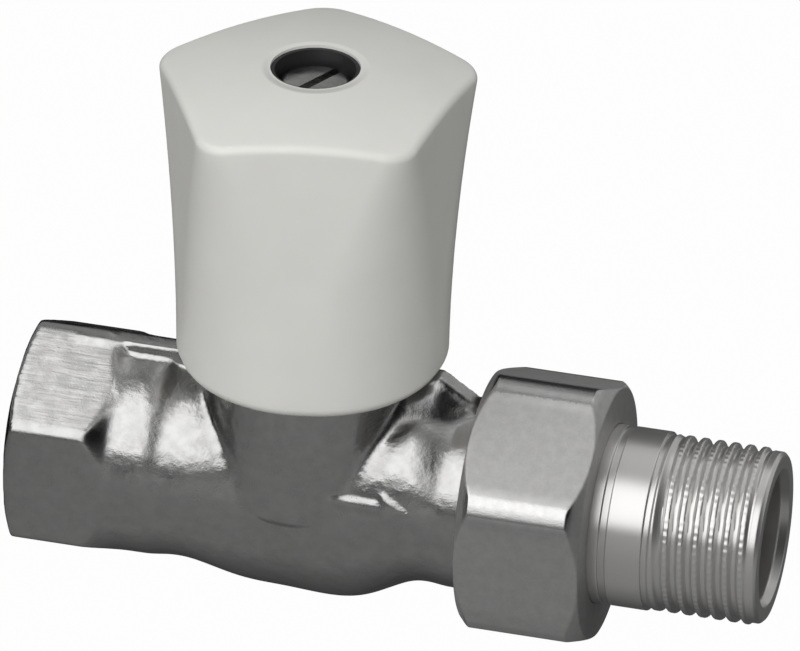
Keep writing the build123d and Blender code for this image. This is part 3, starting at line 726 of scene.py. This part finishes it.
class VALVE_OT_forged_body(Operator):
    """Forged body: blended globe and boss, hexagon end and a raised flow arrow"""

    bl_idname = "valve.forged_body"
    bl_label = "Forged body"

    def execute(self, context):
        sizes, finishes = context.scene.valve_sizes, context.scene.valve_finishes
        points, faces = node_points("valve_body")
        place, radius = points[:, 0] / MM, from_axis(points) / MM
        inlet = (place < INLET_DEPTH + 0.01) & (radius > INLET_BORE - 0.01) & (radius < INLET_ROOT + 0.01)
        set_radius(points, inlet, (INLET_ROOT + 0.1) * MM)
        union = (place > UNION_START - 0.01) & (radius > UNION_CORE)
        set_radius(points, union, UNION_CORE * MM)

        def add_remesh(blank):
            remesh = blank.modifiers.new("forging", "REMESH")
            remesh.mode = "VOXEL"
            remesh.voxel_size = sizes.forging_grid
        mesh = evaluated(mesh_of("valve_forging", points, faces), add_remesh)

        count = len(mesh.vertices)
        points, normals = np.empty(count * 3), np.empty(count * 3)
        edges = np.empty(len(mesh.edges) * 2, int)
        mesh.vertices.foreach_get("co", points)
        mesh.edges.foreach_get("vertices", edges)
        points, edges = points.reshape(-1, 3), edges.reshape(-1, 2)
        place = points[:, 0] / MM
        core = band(place, CORE_START - CORE_FADE, CORE_START, CORE_END, CORE_END + CORE_FADE)
        self.soften(points, edges, np.ones(count), 3)
        side, height = points[:, 1] / MM, points[:, 2] / MM
        land = (1 - step(np.abs(side), *LAND_HALF_WIDTH)) * step(height, *LAND_HEIGHT)
        crease = band(place, *NECK_CREASE)
        foot = band(height, *FOOT_HEIGHTS) * band(place, *FOOT_RUN) * step(-side, *FOOT_FRONT)
        self.soften(points, edges, core * (1 - 0.85 * land) * (1 - 0.8 * foot), sizes.forging_rounds)
        self.soften(points, edges, crease * (1 - land), sizes.forging_rounds)
        mesh.vertices.foreach_set("co", points.ravel())
        mesh.update()
        mesh.vertices.foreach_get("normal", normals)
        normals = normals.reshape(-1, 3)
        wave = np.array([noise.noise(Vector(point) / (5 * MM)) for point in points])
        lift = wave * core * sizes.forging_wave
        front = step(-normals[:, 1], 0.2, 0.5) * (points[:, 1] < -6 * MM)
        lift += arrow_relief(points / MM, sizes.arrow_length) * front * sizes.arrow_relief
        mesh.vertices.foreach_set("co", (points + normals * lift[:, None]).ravel())
        mesh.update()
        finished("valve_forging", mesh, forged_nickel(finishes), "valve_body", "forged_nickel", "valve_body")
        return {"FINISHED"}

    @staticmethod
    def soften(points, edges, weight, rounds):
        """Draws each point towards the middle of its neighbours, as far as its weight allows."""
        count = len(points)
        neighbours = np.bincount(edges.ravel(), minlength=count)
        ends = np.concatenate([edges[:, 0], edges[:, 1]])
        others = np.concatenate([edges[:, 1], edges[:, 0]])
        for _ in range(rounds):
            total = np.stack([np.bincount(ends, points[others, axis], count) for axis in range(3)], 1)
            points += 0.5 * weight[:, None] * (total / neighbours[:, None] - points)


class VALVE_OT_body_threads(Operator):
    """Pipe threads of the body: inside the inlet and round the union end"""

    bl_idname = "valve.body_threads"
    bl_label = "Body threads"

    def execute(self, context):
        sizes, finishes = context.scene.valve_sizes, context.scene.valve_finishes
        material = turned_nickel(finishes)
        row, ease = sizes.thread_row / MM, sizes.edge_ease / MM
        shared = {
            "Pitch": sizes.thread_pitch, "Depth": sizes.thread_depth,
            "Crest Share": sizes.thread_valley, "Root Share": sizes.thread_valley}
        inlet = eased([
            (0.1, SLEEVE_RADIUS), (0.1, INLET_ROOT), (INLET_DEPTH - 0.1, INLET_ROOT),
            (INLET_DEPTH - 0.1, SLEEVE_RADIUS)], ease)
        inlet = divided(inlet, row, 0.2, INLET_DEPTH - 0.2, INLET_ROOT - 0.05)
        mesh = shaped(lathe("inlet_thread", inlet, 144), material, (thread_tree(), shared | {
            "Lowest Radius": (INLET_ROOT - 0.05) * MM, "Highest Radius": (INLET_ROOT + 0.05) * MM,
            "Start": 0.15 * MM, "End": (INLET_DEPTH - 0.15) * MM,
            "Crest Radius": INLET_ROOT * MM, "Run-out": 1.2 * MM}))
        finished("inlet_thread", mesh, material, "valve_body", "forged_nickel")
        union = eased([
            (UNION_START - 1.0, UNION_SLEEVE_BORE), (UNION_START - 1.0, UNION_CORE - 0.2),
            (UNION_START, UNION_CREST), (BODY_END - UNION_CHAMFER, UNION_CREST),
            (BODY_END - 0.02, UNION_CREST - UNION_CHAMFER), (BODY_END - 0.02, UNION_SLEEVE_BORE)], ease)
        union = divided(union, row, UNION_START, BODY_END, UNION_CORE)
        mesh = shaped(lathe("union_thread", union, 192), material, (thread_tree(), shared | {
            "Lowest Radius": UNION_CORE * MM, "Highest Radius": (UNION_CREST + 0.1) * MM,
            "Start": (UNION_START + 0.2) * MM, "End": (BODY_END + 5) * MM,
            "Crest Radius": UNION_CREST * MM, "Run-out": sizes.thread_pitch}))
        finished("union_thread", mesh, material, "valve_body", "forged_nickel")
        return {"FINISHED"}


class VALVE_OT_union_nut(Operator):
    """Union nut: turned blank, six milled flats and a thread in its bore"""

    bl_idname = "valve.union_nut"
    bl_label = "Union nut"

    def execute(self, context):
        sizes, finishes = context.scene.valve_sizes, context.scene.valve_finishes
        material = milled_nickel(finishes)
        flat, turned, run = (
            size / MM for size in (sizes.nut_across_flats / 2, sizes.nut_turned_radius, sizes.nut_corner_run))
        row, ease = sizes.thread_row / MM, sizes.edge_ease / MM
        outline = eased([
            (NUT_START, NUT_MOUTH), (NUT_START, flat), (NUT_START + run, turned), (NUT_END - run, turned),
            (NUT_END, flat), (NUT_END, NUT_FLANGE_BORE), (NUT_FLANGE_FACE, NUT_FLANGE_BORE),
            (NUT_FLANGE_FACE, NUT_BORE), (NUT_START + NUT_MOUTH - NUT_BORE, NUT_BORE)], ease)
        outline = divided(outline, row, NUT_START, NUT_FLANGE_FACE, NUT_BORE - 0.1)
        outline = divided(outline, row, NUT_FLANGE_FACE - 1, NUT_END, NUT_WALL)
        mesh = shaped(
            lathe("union_nut_visual", outline, 384), material,
            (hexagon_tree(), {
                "Lowest Radius": NUT_WALL * MM, "Highest Radius": 1.0, "Start": 0.0, "End": 1.0,
                "Across Flats": sizes.nut_across_flats, "Turn": sizes.nut_turn,
                "Softness": sizes.flat_softness}),
            (thread_tree(), {
                "Lowest Radius": (NUT_BORE - 0.05) * MM, "Highest Radius": (NUT_BORE + 0.05) * MM,
                "Start": (NUT_START + 0.6) * MM, "End": (NUT_FLANGE_FACE - 1.0) * MM,
                "Crest Radius": NUT_BORE * MM, "Run-out": sizes.thread_pitch,
                "Crest Share": sizes.thread_valley, "Root Share": sizes.thread_valley,
                "Pitch": sizes.thread_pitch, "Depth": sizes.thread_depth}))
        finished("union_nut_visual", mesh, material, "union_nut", "turned_nickel", "union_nut")
        return {"FINISHED"}


class VALVE_OT_tailpiece(Operator):
    """Tailpiece: collar, plain shank, notched pipe thread and two key lugs"""

    bl_idname = "valve.tailpiece"
    bl_label = "Tailpiece"

    def execute(self, context):
        sizes, finishes = context.scene.valve_sizes, context.scene.valve_finishes
        material = turned_nickel(finishes)
        row, ease = sizes.tail_row / MM, sizes.edge_ease / MM
        groove = NUT_END + RING_INSET
        floor = TAIL_RADIUS - TAIL_GROOVE
        thread_start = TAIL_END - TAIL_THREAD_LENGTH
        land_start = TAIL_END - TAIL_LAND_LENGTH
        outline = eased([
            (TAIL_START, TAIL_BORE), (TAIL_START, TAIL_NOSE), (SEAL_X - SEAL_GROOVE, TAIL_NOSE),
            (SEAL_X - SEAL_GROOVE, TAIL_NOSE - SEAL_DEPTH), (SEAL_X + SEAL_GROOVE, TAIL_NOSE - SEAL_DEPTH),
            (SEAL_X + SEAL_GROOVE, TAIL_NOSE), (BODY_END, TAIL_NOSE), (BODY_END, COLLAR_RADIUS),
            (NUT_FLANGE_FACE, COLLAR_RADIUS), (NUT_FLANGE_FACE, TAIL_RADIUS), (groove, TAIL_RADIUS),
            (groove, floor), (groove + RING_WIDTH, floor),
            (groove + RING_WIDTH, TAIL_RADIUS), (thread_start - UNDERCUT_WIDTH, TAIL_RADIUS),
            (thread_start - UNDERCUT_WIDTH, floor), (thread_start, floor),
            (thread_start + TAIL_GROOVE, TAIL_THREAD),
            (land_start - TAIL_LAND_CONE, TAIL_THREAD), (land_start, TAIL_LAND),
            (TAIL_END - TAIL_CHAMFER, TAIL_LAND), (TAIL_END, TAIL_LAND - TAIL_CHAMFER),
            (TAIL_END, TAIL_BORE + TAIL_FLARE), (TAIL_END - TAIL_FLARE_DEPTH, TAIL_BORE)], ease)
        outline = divided(outline, row, thread_start, TAIL_END, TAIL_WALL)
        blank = lathe("tailpiece_visual", outline, SAMPLES_PER_NOTCH * sizes.notch_count)
        mesh = shaped(blank, material, (thread_tree(), {
            "Lowest Radius": TAIL_WALL * MM, "Highest Radius": 1.0,
            "Start": (thread_start + 0.1) * MM, "End": (TAIL_END - TAIL_RUN_OUT) * MM,
            "Crest Radius": TAIL_THREAD * MM,
            "Crest Share": sizes.tail_top, "Root Share": sizes.tail_valley, "Phase": sizes.tail_phase,
            "Run-out": sizes.thread_pitch, "Pitch": sizes.thread_pitch, "Depth": sizes.tail_depth,
            "Notches": float(sizes.notch_count), "Notch Depth": sizes.notch_depth}))
        work = bmesh.new()
        work.from_mesh(mesh)
        for side in (-1, 1):
            self.add_lug(work, side)
        work.to_mesh(mesh)
        work.free()
        finished("tailpiece_visual", mesh, material, "tail", "turned_nickel", "tailpiece")
        return {"FINISHED"}

    @staticmethod
    def add_lug(work, side):
        """Rounded key lug on the wall of the bore."""
        middle_x = TAIL_END - LUG_INSET - LUG_LENGTH / 2
        place = Matrix.Translation(Vector((middle_x, side * TAIL_BORE, 0)) * MM)
        size = Matrix.Diagonal(Vector((LUG_LENGTH, 2 * LUG_HEIGHT, LUG_WIDTH, 1 / MM)) * MM)
        made = bmesh.ops.create_cube(work, size=1.0, matrix=place @ size)
        edges = list({edge for corner in made["verts"] for edge in corner.link_edges})
        bmesh.ops.bevel(work, geom=edges, offset=0.3 * MM, segments=3, affect="EDGES", profile=0.5)


class VALVE_OT_handwheel(Operator):
    """Handwheel: moulded five-cornered cap"""

    bl_idname = "valve.handwheel"
    bl_label = "Handwheel"

    def execute(self, context):
        finishes = context.scene.valve_finishes
        plastic = moulded_plastic(
            "white_plastic", finishes.plastic_colour, finishes.plastic_roughness, 0.06, hole_lip)
        mesh = mesh_of("handwheel_visual", *node_points("handwheel"))
        finished("handwheel_visual", mesh, plastic, "spindle", "white_plastic", "handwheel")
        return {"FINISHED"}


class VALVE_OT_inner_works(Operator):
    """Bonnet, spindle, disc, seals and screws, shown by their CAD solids"""

    bl_idname = "valve.inner_works"
    bl_label = "Inner works"

    def execute(self, context):
        finishes = context.scene.valve_finishes
        materials = {
            "bare_brass": plain_metal("bare_brass", finishes.brass_colour, 0.25),
            "zinc_steel": plain_metal("zinc_steel", finishes.steel_colour, 0.2),
            # Black plastic and rubber share one colour; on the recess liner it stands in for the shade inside
            # the screw hole
            "black_plastic": moulded_plastic("black_plastic", finishes.rubber_and_hole_shade_colour, 0.5, 0.1),
            "black_rubber": moulded_plastic("black_rubber", finishes.rubber_and_hole_shade_colour, 0.6, 0.15),
        }
        for part in frame["record"]["subparts"]:
            material = materials.get(part["material_slot"])
            if material:
                node = frame["nodes"][part["node"]]
                node.data.materials.clear()
                node.data.materials.append(material)
        return {"FINISHED"}


class VALVE_OT_studio(Operator):
    """Pale floor, a soft lamp, cards for the metal to mirror, and the camera"""

    bl_idname = "valve.studio"
    bl_label = "Studio"

    def execute(self, context):
        studio = context.scene.valve_studio
        context.scene.view_settings.view_transform = "Standard"
        self.add_world(context.scene, studio)
        self.add_floor(studio)
        self.add_tent(studio)
        self.add_lamp(
            "key_lamp", studio, azimuth=-8.0, elevation=28.0, distance=0.42, width=0.3, height=0.54,
            power=studio.key_power)
        self.add_camera(context.scene, studio)
        return {"FINISHED"}

    @staticmethod
    def seen_directly(build):
        """1 for camera, glossy and transmission rays, 0 for the rest."""
        path = build.add("ShaderNodeLightPath").outputs
        mirrored = build.math("MAXIMUM", path["Is Glossy Ray"], path["Is Transmission Ray"])
        return build.math("MAXIMUM", path["Is Camera Ray"], mirrored)

    def add_world(self, scene, studio):
        """White surroundings that light the valve only softly."""
        world = bpy.data.worlds.new("studio_white")
        scene.world = world
        world.use_nodes = True
        build = NodeBuilder(world.node_tree)
        background = world.node_tree.nodes["Background"]
        background.inputs["Color"].default_value = (1, 1, 1, 1)
        strength = build.mapped(self.seen_directly(build), 0.0, 1.0, studio.ambient, 1.0)
        world.node_tree.links.new(strength, background.inputs["Strength"])

    def add_floor(self, studio):
        """Pale floor under the valve, which shows as white with a faint shadow."""
        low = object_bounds()[0].z
        half = 3.0
        corners = [(-half, -half, low), (half, -half, low), (half, half, low), (-half, half, low)]
        mesh = bpy.data.meshes.new("studio_floor")
        mesh.from_pydata(corners, [], [(0, 1, 2, 3)])
        material, build, shader, _ = start_material("studio_floor")
        shader.inputs["Base Color"].default_value = studio.floor_colour
        shader.inputs["Roughness"].default_value = 0.8
        glow = build.add("ShaderNodeEmission", {"Color": (1, 1, 1, 1), "Strength": 1.0})
        share = build.math("MULTIPLY", self.seen_directly(build), 0.985)
        mix = build.add("ShaderNodeMixShader", {0: share, 1: shader.outputs[0], 2: glow.outputs[0]})
        build.tree.links.new(mix.outputs[0], material.node_tree.nodes["Material Output"].inputs["Surface"])
        mesh.materials.append(material)
        floor = bpy.data.objects.new("studio_floor", mesh)
        bpy.context.collection.objects.link(floor)
        floor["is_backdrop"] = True

    @staticmethod
    def tent_strength(build, studio, place):
        """Brightness of the tent at a place in metres, by its rise in degrees from the front over the top."""
        up, forward = build.math("MAXIMUM", place[2], 0.0), build.math("MULTIPLY", place[1], -1.0)
        rise = build.math("DEGREES", build.math("ARCTAN2", up, forward))
        lean = build.mapped(place[0], -0.1, 0.02, -20.0, 4.0)
        leant = build.math("MULTIPLY_ADD", lean, build.mapped(rise, 20.0, 60.0), rise)
        ramp = build.add("ShaderNodeValToRGB", {0: build.math("DIVIDE", leant, 180.0)})
        stops = [
            # degrees of rise, brightness
            (0.0, studio.table_grey), (1.5, studio.table_grey), (3.5, studio.edge_grey),
            (15.0, studio.edge_grey), (18.0, studio.dark_grey), (70.0, studio.dark_grey),
            (76.0, studio.gap_grey), (91.0, studio.gap_grey), (94.0, studio.panel_grey),
            (134.0, studio.panel_grey), (138.0, studio.dark_grey), (177.0, studio.dark_grey),
            (178.5, studio.floor_grey),
        ]
        for stop in stops[2:]:
            ramp.color_ramp.elements.new(stop[0] / 180)
        for element, (angle, grey) in zip(ramp.color_ramp.elements, stops):
            element.position = angle / 180
            element.color = (grey, grey, grey, 1)
        # Softbox, faded at its lower, upper, left and right edges
        box = build.mapped(rise, 15.0, 19.0)
        for value, outside, inside in ((leant, 75.5, 72.5), (place[0], -0.26, -0.22), (place[0], 0.2, 0.03)):
            box = build.math("MULTIPLY", box, build.mapped(value, outside, inside))
        # Painted shadow of the valve on the table, dimmer left, fill behind and dimmer right
        under = build.math(
            "MULTIPLY", build.mapped(place[1], -0.016, -0.004, 1.0, 0.25),
            build.mapped(place[1], -0.3, -0.02, 1.0, 0.65))
        shadow = build.math("MAXIMUM", under, build.mapped(place[2], -0.001, 0.0))
        left = build.mapped(place[0], -0.07, 0.0, 0.5, 1.0)
        behind = build.mapped(rise, 100.0, 140.0)
        side = build.math("MAXIMUM", behind, build.mapped(place[0], 0.15, 0.33, 1.0, 0.25))
        fill = build.math(
            "MULTIPLY", build.math("MULTIPLY", behind, studio.back_grey), build.mapped(place[0], 0.03, 0.1))
        strength = build.math(
            "MULTIPLY_ADD", box, studio.softbox, build.math("MULTIPLY", ramp.outputs[0], left))
        strength = build.math("ADD", strength, fill)
        return build.math("MULTIPLY", strength, build.math("MULTIPLY", shadow, side))

    def add_tent(self, studio):
        """Tent that only mirrored rays meet: table, softbox, panel overhead and the dark room between."""
        rings, segments, reach = 24, 48, 0.4
        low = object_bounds()[0].z + 0.0004
        points, faces = [], []
        for ring in range(rings + 1):
            height = pi / 2 * ring / rings
            for segment in range(segments):
                turn = tau * segment / segments
                across = reach * cos(height)
                points.append((across * cos(turn), across * sin(turn), low + reach * sin(height)))
        for ring in range(rings):
            for segment in range(segments):
                after = (segment + 1) % segments
                faces.append([
                    ring * segments + segment, ring * segments + after,
                    (ring + 1) * segments + after, (ring + 1) * segments + segment])
        faces.append(list(range(segments)))
        mesh = mesh_of("studio_tent", points, faces)
        material = bpy.data.materials.new("studio_tent")
        material.use_nodes = True
        build = NodeBuilder(material.node_tree)
        material.node_tree.nodes.remove(material.node_tree.nodes["Principled BSDF"])
        coordinates = build.add("ShaderNodeTexCoord").outputs["Object"]
        place = build.add("ShaderNodeSeparateXYZ", {0: coordinates}).outputs
        glow = build.add("ShaderNodeEmission", {"Strength": self.tent_strength(build, studio, place)})
        build.tree.links.new(glow.outputs[0], material.node_tree.nodes["Material Output"].inputs["Surface"])
        mesh.materials.append(material)
        tent = bpy.data.objects.new("studio_tent", mesh)
        bpy.context.collection.objects.link(tent)
        tent.visible_camera = False
        tent.visible_diffuse = False
        tent.visible_transmission = False
        tent.visible_volume_scatter = False
        tent.visible_shadow = False
        tent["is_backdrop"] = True

    @staticmethod
    def add_lamp(name, studio, azimuth, elevation, distance, width, height, power):
        """Soft rectangular lamp aimed at the valve."""
        lamp = bpy.data.lights.new(name, "AREA")
        lamp.shape = "RECTANGLE"
        lamp.size, lamp.size_y = width, height
        lamp.energy = power
        turn, lift = radians(azimuth), radians(elevation)
        away = Vector((sin(turn) * cos(lift), -cos(turn) * cos(lift), sin(lift)))
        stand = bpy.data.objects.new(name, lamp)
        stand.location = Vector(studio.aim) + away * distance
        stand.rotation_euler = away.to_track_quat("Z", "Y").to_euler()
        stand.visible_glossy = False
        bpy.context.collection.objects.link(stand)

    @staticmethod
    def add_camera(scene, studio):
        """Long lens at the photograph's angle."""
        turn, lift = studio.azimuth, studio.elevation
        back = Vector((sin(turn) * cos(lift), -cos(turn) * cos(lift), sin(lift)))
        right = Vector((cos(turn), sin(turn), 0))
        axes = Matrix((right, back.cross(right), back)).transposed()
        camera = bpy.data.cameras.new("studio_camera")
        camera.lens = studio.lens
        camera.sensor_width = 36.0
        camera.clip_start, camera.clip_end = 0.05, 20.0
        stand = bpy.data.objects.new("studio_camera", camera)
        stand.matrix_world = Matrix.Translation(Vector(studio.aim) + back * studio.distance) @ (
            axes @ Matrix.Rotation(studio.roll, 3, "Z")).to_4x4()
        bpy.context.collection.objects.link(stand)
        scene.camera = stand


OPERATORS = (
    VALVE_OT_forged_body,
    VALVE_OT_body_threads,
    VALVE_OT_union_nut,
    VALVE_OT_tailpiece,
    VALVE_OT_handwheel,
    VALVE_OT_inner_works,
    VALVE_OT_studio,
)


class VALVE_PT_build(Panel):
    """Lists the valve's pieces and settings"""

    bl_label = "Radiator valve"
    bl_space_type = "VIEW_3D"
    bl_region_type = "UI"
    bl_category = "Valve"

    def draw(self, context):
        for operator in OPERATORS:
            self.layout.operator(operator.bl_idname)
        for group in ("valve_sizes", "valve_finishes", "valve_studio"):
            settings = getattr(context.scene, group)
            box = self.layout.box()
            for name in settings.bl_rna.properties.keys():
                if name not in ("rna_type", "name"):
                    box.prop(settings, name)


GROUPS = {"valve_sizes": ValveSizes, "valve_finishes": ValveFinishes, "valve_studio": ValveStudio}
CLASSES = (*GROUPS.values(), *OPERATORS, VALVE_PT_build)


def register():
    """Registers the classes and gives the scene its settings."""
    for cls in CLASSES:
        bpy.utils.register_class(cls)
    for name, group in GROUPS.items():
        setattr(bpy.types.Scene, name, PointerProperty(type=group))


def unregister():
    """Takes the settings and classes away again."""
    for name in GROUPS:
        delattr(bpy.types.Scene, name)
    for cls in reversed(CLASSES):
        bpy.utils.unregister_class(cls)


def main():
    """Builds every piece and the studio."""
    register()
    for operator in OPERATORS:
        category, name = operator.bl_idname.split(".")
        getattr(getattr(bpy.ops, category), name)()


if __name__ == "__main__":
    main()
